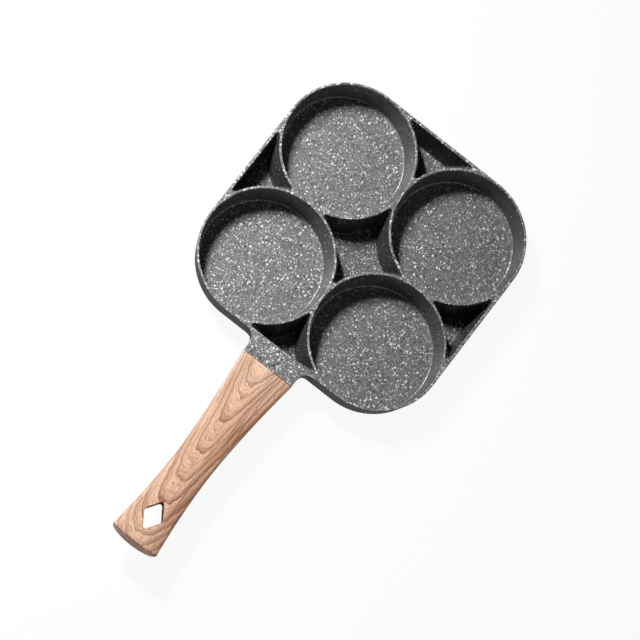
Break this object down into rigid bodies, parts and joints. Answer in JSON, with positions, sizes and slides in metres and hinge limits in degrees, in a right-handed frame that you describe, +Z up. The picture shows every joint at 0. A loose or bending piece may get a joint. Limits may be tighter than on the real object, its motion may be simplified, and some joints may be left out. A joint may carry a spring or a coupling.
{
  "type": "multi-cup frying pan",
  "caption": "Shallow cast pan with round cups set in a rounded square, open pockets between them, and a waisted handle with a diamond hanging hole.",
  "frame": {"origin": "middle of the underside, where the pan stands on the hob", "axes": "+Z up, handle along -Y, +X to the right seen from the handle"},
  "size_m": [0.1918, 0.3602, 0.0337],
  "materials": {
    "stone_coating": "matte nonstick coating with pale and dark flecks on cast aluminium",
    "plate_steel": "rolled stainless sheet",
    "wood_grain_plastic": "satin moulding with a printed wood grain",
    "fastener_steel": "zinc-plated steel"
  },
  "bodies": {
    "root": {"pan_body": "stone_coating", "induction_plate": "plate_steel", "handle_grip": "wood_grain_plastic", "handle_screw": "fastener_steel", "spring_washer": "fastener_steel", "flat_washer": "fastener_steel"}
  },
  "joints": []
}
